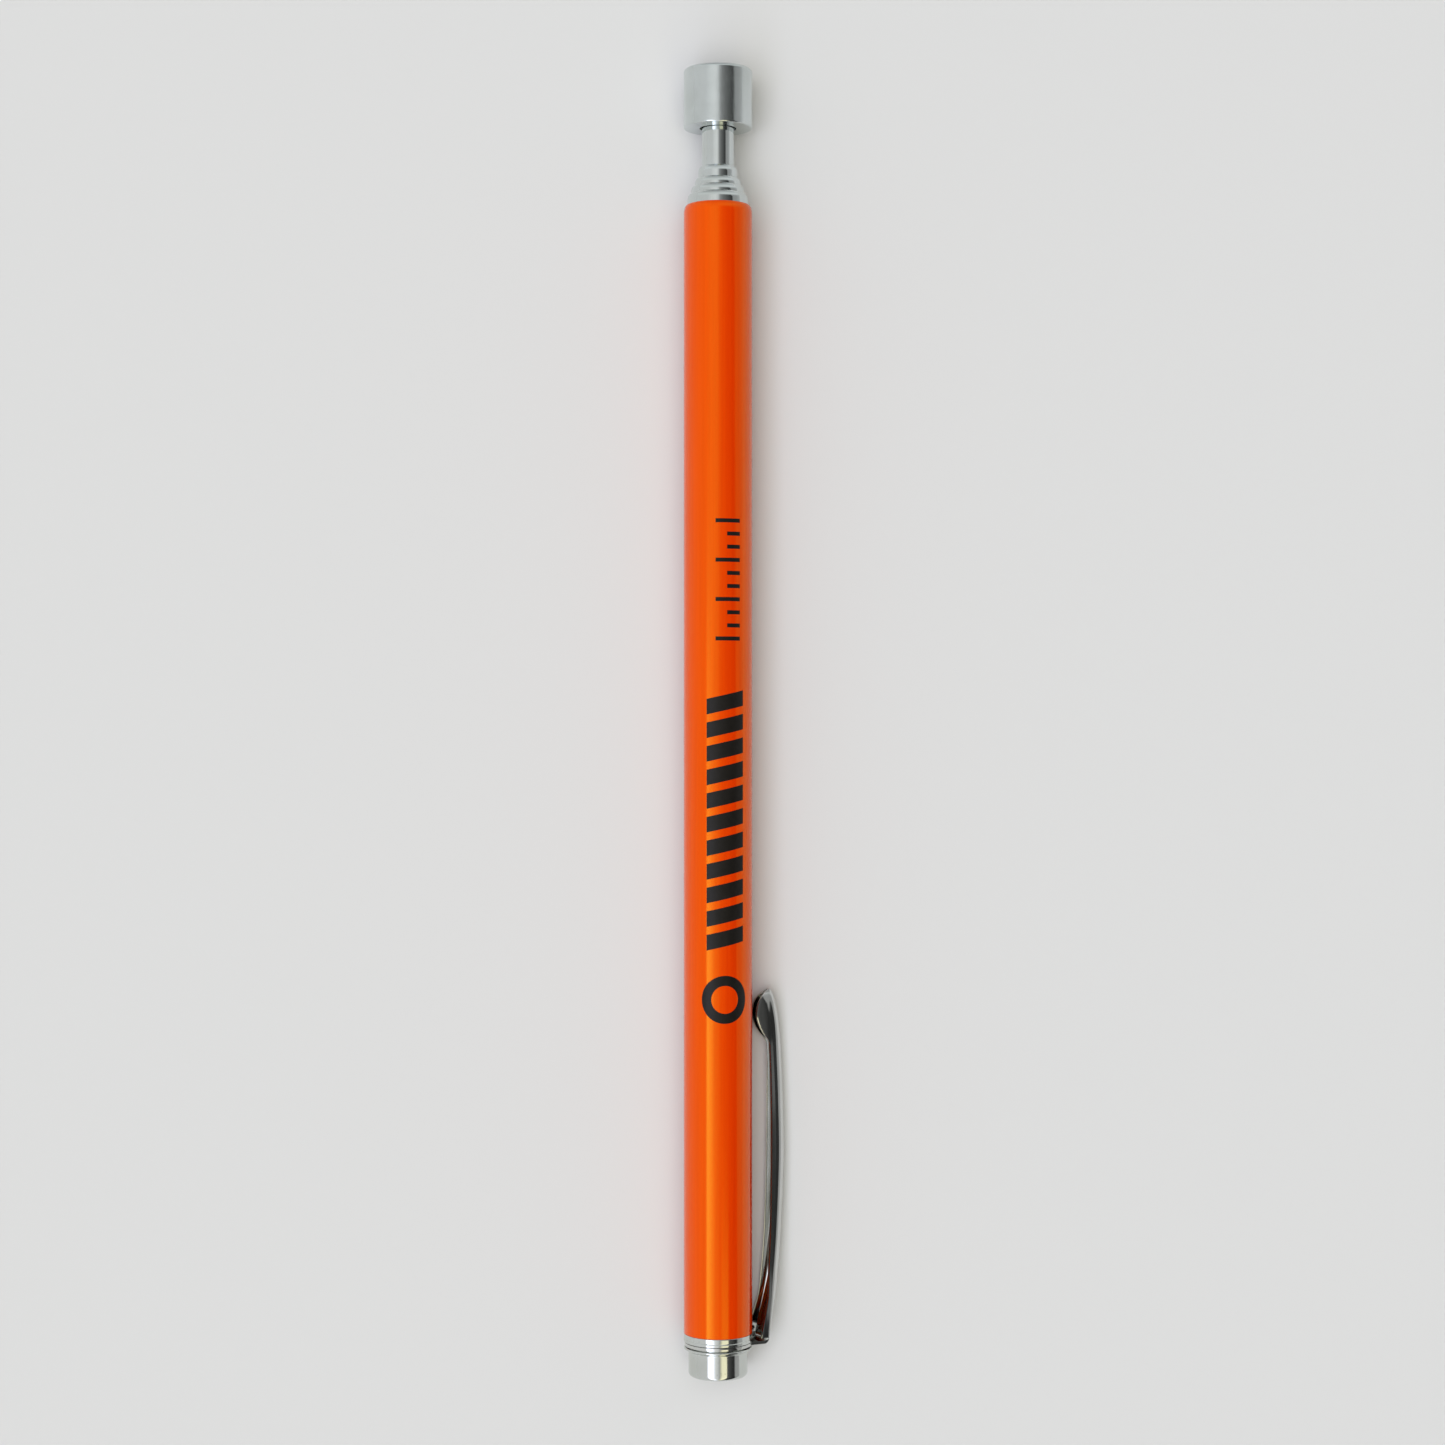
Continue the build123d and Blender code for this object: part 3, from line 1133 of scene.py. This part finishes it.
@dataclass
class PocketClip:
    """One stamped spring: a flat ring, a tab, a bend and a long channel with a boat-shaped toe.

    Places are along the tool, heights are over its axis and widths are across the clip, in mm.
    """

    finishes: FinishShelf
    sheet: float = 0.38
    ring_face: float = 3.93
    ring_outer: float = 4.24
    ring_bore: float = 3.62
    bend: float = 0.95
    shoulder: Curve = (
        (4.0, 0.34), (6.5, 0.60), (10.0, 1.05), (15.0, 1.25), (40.0, 1.20), (48.6, 0.90))
    edge_round: float = 0.18
    edge_degrees: float = 50.0
    give: float = 1.6
    arc_share: float = 0.8
    splay: float = 0.16
    splay_depth: float = 0.8
    root: float = 4.4
    neck: float = 41.0
    tip: float = 48.6
    back: Curve = (
        (4.4, 6.45), (6.9, 7.02), (9.5, 7.66), (12.7, 8.12), (18.0, 8.58), (27.0, 9.00),
        (34.0, 8.92), (40.0, 8.68), (43.6, 8.40), (46.1, 8.02), (47.6, 7.66), (48.6, 7.20))
    edge: Curve = (
        (4.4, 4.95), (6.9, 5.55), (9.5, 6.20), (12.7, 6.46), (18.0, 6.78), (27.0, 6.98),
        (36.0, 7.00), (41.6, 6.86), (42.15, 6.62), (43.0, 5.95), (43.9, 5.40), (45.1, 4.97),
        (46.2, 5.03), (47.0, 5.26), (47.7, 5.66), (48.2, 6.20), (48.6, 6.78))
    half: Curve = (
        (4.4, 2.17), (6.5, 2.04), (9.2, 1.72), (12.7, 1.36), (17.0, 1.16), (24.0, 1.00),
        (32.0, 0.86), (41.8, 0.64), (45.1, 0.84), (47.0, 0.79), (48.0, 0.62), (48.6, 0.44))
    flange_steps: int = 5
    arc_steps: int = 9
    bend_steps: int = 10
    arm_steps: int = 44
    ring_steps: int = 120
    across: Vector = field(default_factory=lambda: Vector(
        next(j["axis"] for j in frame["joints"] if j["name"] == "clip_flex")))

    @property
    def outward(self) -> Vector:
        """Direction in which the clip stands off the tool."""
        return self.across.cross(Vector((1, 0, 0)))

    def place(self, along: float, height: float, side: float) -> Vector:
        """Find a point of the clip in the frame.

        Args:
            along: its place along the tool.
            height: its height over the axis.
            side: its place across the clip.

        Returns:
            The point, in metres.
        """
        return (Vector((along, 0, 0)) + self.outward * height + self.across * side) * MM

    def section(self, width: float, depth: float, arc: float) -> list[Pair]:
        """Outline of the channel, from one flange edge over its round back to the other.

        Args:
            width: half width of the channel.
            depth: height of the back over the flange edge.
            arc: height of the rounded shoulder.

        Returns:
            Points as (across, drop below the back).
        """
        arc = min(arc, self.arc_share * depth)
        drops = [depth - (depth - arc) * step / self.flange_steps
                 for step in range(self.flange_steps)]
        points = [(width + self.splay * min(drop - arc, self.splay_depth), drop)
                  for drop in drops]
        turns = [math.pi / 2 * step / self.arc_steps for step in range(self.arc_steps + 1)]
        points += [(width * math.cos(t), arc * (1 - math.sin(t))) for t in turns]
        return points + [(-side, drop) for side, drop in reversed(points[:-1])]

    def skin(self) -> tuple[Mesh, list[Point]]:
        """Outer skin of the channel, its bend and its tab.

        Returns:
            The bmesh, and the two points of the tab's side that lie on the ring.
        """
        back, edge, half = smooth_line(self.back), smooth_line(self.edge), smooth_line(self.half)
        arc = smooth_line(self.shoulder)
        slope = math.atan(2 * (back(self.root + 0.5) - back(self.root)))
        start = self.ring_face + self.bend * (1 - math.sin(slope))
        mesh = bmesh.new()
        steps = self.arm_steps
        stations = [start + (self.neck - start) * step / steps for step in range(steps)]
        stations += [self.neck + (self.tip - self.neck) * math.sin(math.pi / 2 * step / steps)
                     for step in range(steps + 1)]
        rows = []
        for along in stations:
            outline = self.section(half(along), back(along) - edge(along), arc(along))
            rows.append([mesh.verts.new(self.place(along, back(along) - drop, side))
                         for side, drop in outline])
        first = self.section(half(start), back(start) - edge(start), arc(start))
        shoulders = range(self.flange_steps, len(first) - self.flange_steps)
        centre = (start + self.bend * math.sin(slope), back(start) - self.bend * math.cos(slope))
        tab_half = half(start)
        middle = (len(shoulders) - 1) / 2
        for step in range(1, self.bend_steps + 1):
            share = step / self.bend_steps
            turn = slope + (math.pi / 2 - slope) * share
            row = [None] * len(first)
            for count, index in enumerate(shoulders):
                side, drop = first[index]
                flat = tab_half * (middle - count) / middle
                reach = self.bend - drop * (1 - share)
                row[index] = mesh.verts.new(self.place(
                    centre[0] - reach * math.sin(turn), centre[1] + reach * math.cos(turn),
                    side + (flat - side) * share))
            rows.insert(0, row)
        for radius in (self.ring_outer, self.ring_bore):
            row = [None] * len(first)
            for count, index in enumerate(shoulders):
                angle = math.asin(tab_half * (middle - count) / middle / self.ring_outer)
                row[index] = mesh.verts.new(self.place(
                    self.ring_face, radius * math.cos(angle), radius * math.sin(angle)))
            rows.insert(0, row)
        for lower, upper in zip(rows, rows[1:]):
            for a, b, c, d in zip(lower, lower[1:], upper[1:], upper):
                if a and b and c and d:
                    mesh.faces.new((a, b, c, d))
        return mesh, [rows[0][shoulders[-1]], rows[1][shoulders[-1]]]

    def build(self) -> Piece:
        """Build the clip and give it its sheet thickness.

        Returns:
            The piece.
        """
        mesh, side = self.skin()
        covered = 2 * math.asin((self.across.dot(side[1].co) / MM) / self.ring_outer)
        bmesh.ops.spin(mesh, geom=side + [mesh.edges.get(side)], cent=(0, 0, 0), axis=(1, 0, 0),
                       dvec=(0, 0, 0), angle=-(2 * math.pi - abs(covered)),
                       steps=self.ring_steps, use_merge=False, use_duplicate=False)
        bmesh.ops.remove_doubles(mesh, verts=mesh.verts, dist=20 * MERGE)
        bmesh.ops.recalc_face_normals(mesh, faces=mesh.faces)
        top = max(mesh.faces, key=lambda f: f.calc_center_median().dot(self.outward))
        if top.normal.dot(self.outward) < 0:
            bmesh.ops.reverse_faces(mesh, faces=mesh.faces)
        piece = publish("clip", mesh, self.finishes.take(CLIP_STEEL), self.edge_degrees)
        wall = piece.modifiers.new("sheet", "SOLIDIFY")
        wall.thickness = self.sheet * MM
        wall.offset = -1.0
        wall.use_even_offset = False
        rounded = piece.modifiers.new("edges", "BEVEL")
        rounded.width = self.edge_round * MM
        rounded.segments = 3
        rounded.limit_method = "ANGLE"
        rounded.angle_limit = math.radians(self.edge_degrees)
        rounded.profile = 0.5
        rounded.use_clamp_overlap = True
        settle(piece, CREASE_DEGREES)
        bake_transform(piece)
        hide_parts("pocket_clip_base", "pocket_clip_arm")
        LOG.info("%s bends between barrel and clip_arm", piece.name)
        return piece


@dataclass
class Studio:
    """Floor, camera and light tent.

    Levels are greys at angles about the tool, from straight up towards the clip, in degrees.
    Reaches are parts of a unit direction along the tool.
    """

    distance: float = 0.334
    middle: Pair = (0.08255, -0.00057)
    focal: float = 65.77
    sensor: float = 36.0
    floor_size: float = 8.0
    floor_grey: Triple = (0.60, 0.60, 0.59)
    gap_levels: Curve = (
        (-180, 0.60), (-90, 0.72), (-40, 0.72), (-26, 0.84), (-9, 0.90), (1, 0.74), (7.5, 0.36),
        (20, 0.20), (35, 0.12), (47, 0.07), (60, 0.03), (180, 0.03))
    side_levels: Curve = (
        (-180, 0.60), (40, 0.34), (75, 0.40), (97, 0.64), (180, 0.60))
    butt_levels: Curve = (
        (-180, 0.60), (40, 0.34), (75, 0.42), (89, 0.46), (180, 0.40))
    butt_reach: Pair = (-0.20, -0.06)
    gap_skew: float = 28.0
    gap_edge: Pair = (60.5, 64.0)
    head_reach: Pair = (0.30, 0.50)
    head_light: Triple = (0.78, 0.80, 0.80)
    end_reach: Pair = (0.55, 1.0)
    end_light: Triple = (0.36, 0.37, 0.38)
    lamp_window: Quad = (-41, -36, -33, -9)
    lamp_reach: Pair = (-0.10, 0.10)
    lamp_light: Triple = (3.0, 3.1, 3.7)
    card_window: Quad = (6, 16, 35, 36)
    card_reach: Pair = (-0.22, -0.18)
    card_light: Triple = (1.36, 1.28, 0.90)
    backdrop: Triple = (0.7, 0.7, 0.7)
    fill_place: Triple = (0.05, 0.06, 1.3)
    fill_tilt: float = -0.14
    fill_size: float = 1.6
    fill_power: float = 10.0

    def floor(self) -> None:
        """Lay a plain pale floor just under the barrel."""
        made = bpy.data.materials.new("pale floor")
        made.use_nodes = True
        shader = made.node_tree.nodes["Principled BSDF"]
        shader.inputs["Base Color"].default_value = colour(*self.floor_grey)
        shader.inputs["Roughness"].default_value = 0.9
        shader.inputs["Specular IOR Level"].default_value = 0.1
        mesh = bmesh.new()
        bmesh.ops.create_grid(mesh, x_segments=1, y_segments=1, size=self.floor_size,
                              matrix=Matrix.Translation((0, 0, CAD_BOX[0][2])))
        publish("floor", mesh, made)

    def camera(self) -> None:
        """Put a camera straight above the tool, with the magnet at the top of its picture."""
        data = bpy.data.cameras.new("camera")
        data.lens = self.focal
        data.sensor_width = self.sensor
        data.clip_start = 0.01
        body = bpy.data.objects.new("camera", data)
        body.location = (*self.middle, self.distance)
        body.rotation_euler = (0, 0, -math.pi / 2)
        bpy.context.scene.collection.objects.link(body)
        bpy.context.scene.camera = body

    def tent(self) -> None:
        """Hang a light tent: pale all round, with a lamp, a warm card and a dark gap overhead."""
        world = bpy.data.worlds.new("tent")
        world.use_nodes = True
        bpy.context.scene.world = world
        bench = NodeBench(world.node_tree)
        sky = world.node_tree.nodes["Background"]
        parts = bench.add("SeparateXYZ")
        bench.join(bench.add("TexCoord").outputs["Generated"], parts.inputs[0])
        along, left, up = parts.outputs["X"], parts.outputs["Y"], parts.outputs["Z"]
        turn = bench.math("ARCTAN2", bench.math("MULTIPLY", left, -1.0), up)
        angle = bench.math("DEGREES", turn)
        gap = self.ramp(bench, angle, self.gap_levels)
        side = bench.mix(self.below(bench, along, self.butt_reach),
                         self.ramp(bench, angle, self.side_levels),
                         self.ramp(bench, angle, self.butt_levels))
        skewed = bench.math("MULTIPLY_ADD", along, self.gap_skew, angle)
        band = bench.mix(bench.remap(skewed, *self.gap_edge, 0.0, 1.0), gap, side)
        tent = bench.mix(bench.remap(along, *self.head_reach, 0.0, 1.0, smooth=True), band,
                         colour(*self.head_light))
        tent = bench.mix(bench.remap(along, *self.end_reach, 0.0, 1.0), tent,
                         colour(*self.end_light))
        for window, reach, light in ((self.lamp_window, self.lamp_reach, self.lamp_light),
                                     (self.card_window, self.card_reach, self.card_light)):
            mask = bench.math("MULTIPLY", self.window(bench, angle, *window),
                              self.below(bench, along, reach))
            tent = bench.mix(mask, tent, colour(*light))
        camera_ray = bench.add("LightPath").outputs["Is Camera Ray"]
        bench.join(bench.mix(camera_ray, tent, colour(*self.backdrop)), sky.inputs["Color"])
        sky.inputs["Strength"].default_value = 1.0

    def lamps(self) -> None:
        """Hang a large soft lamp over the tool that fills the tent with even light."""
        data = bpy.data.lights.new("fill", "AREA")
        data.shape = "DISK"
        data.size = self.fill_size
        data.energy = self.fill_power
        body = bpy.data.objects.new("fill", data)
        body.location = self.fill_place
        body.rotation_euler = (self.fill_tilt, 0, 0)
        body.visible_glossy = False
        bpy.context.scene.collection.objects.link(body)

    @staticmethod
    def ramp(bench: NodeBench, angle: Socket,
             stops: Sequence[Pair]) -> Socket:
        """Grade greys along the angle about the tool.

        Args:
            bench: the world's bench.
            angle: the angle in degrees.
            stops: pairs of angle and grey level, in order.

        Returns:
            The grey.
        """
        node = bench.add("ValToRGB")
        bench.join(bench.remap(angle, -180.0, 180.0, 0.0, 1.0), node.inputs[0])
        elements = node.color_ramp.elements
        elements[0].position = 0.0
        elements[1].position = 1.0
        while len(elements) < len(stops):
            elements.new(0.5)
        for element, (degree, level) in zip(elements, stops):
            element.position = (degree + 180) / 360
            element.color = colour(level, level, level)
        return node.outputs["Color"]

    @staticmethod
    def window(bench: NodeBench, angle: Socket, low: float, full: float,
               fade: float, high: float) -> Socket:
        """Mask that rises from low to full degrees and falls from fade to high."""
        return bench.math("MULTIPLY", bench.remap(angle, low, full, 0.0, 1.0),
                          bench.remap(angle, fade, high, 1.0, 0.0))

    @staticmethod
    def below(bench: NodeBench, along: Socket,
              reach: Pair) -> Socket:
        """Mask that falls gently from 1 at the low reach to 0 at the high one."""
        return bench.remap(along, *reach, 1.0, 0.0, smooth=True)


def main() -> None:
    """Build the tool, then the studio."""
    logging.basicConfig(level=logging.INFO, format="%(name)s: %(message)s")
    bpy.context.scene.view_settings.view_transform = "Standard"
    finishes = FinishShelf()
    Barrel(finishes).build()
    BarrelMarks(finishes).build()
    ends = ButtEnd(finishes)
    ends.build_ferrule()
    ends.build_plug()
    Telescope(finishes).build()
    MagnetHead(finishes).build()
    PocketClip(finishes).build()
    studio = Studio()
    studio.floor()
    studio.camera()
    studio.tent()
    studio.lamps()


if __name__ == "__main__":
    main()
